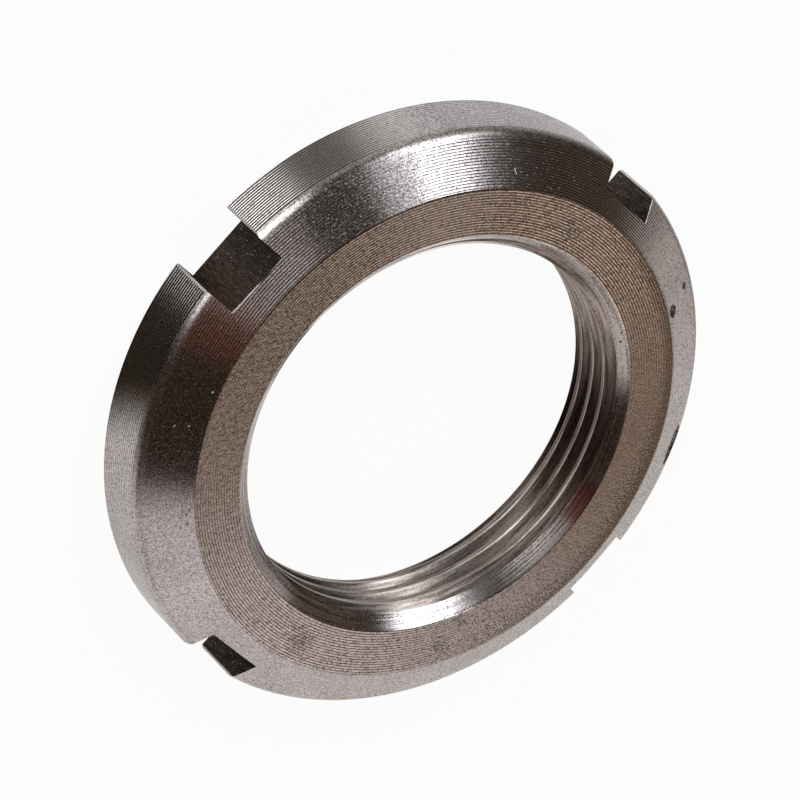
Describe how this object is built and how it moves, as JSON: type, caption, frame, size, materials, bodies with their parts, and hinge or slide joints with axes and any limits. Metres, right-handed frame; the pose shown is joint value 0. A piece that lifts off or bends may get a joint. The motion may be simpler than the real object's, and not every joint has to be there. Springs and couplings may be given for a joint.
{
  "type": "bearing lock nut",
  "caption": "Thin round steel ring nut with a fine thread, a wide chamfer on one face and square spanner slots in its rim.",
  "frame": {"origin": "centre of the plain back face, on the nut's axis, where it lies on a surface", "axes": "+Z along the thread's axis towards the chamfered clamping face; the spanner slots lie midway between the X and Y axes"},
  "size_m": [0.045, 0.045, 0.0068],
  "materials": {
    "turned_steel": "bare turned steel with fine concentric feed marks, a film of oil and small dark stains"
  },
  "bodies": {
    "root": {"lock_nut": "turned_steel"}
  },
  "joints": []
}
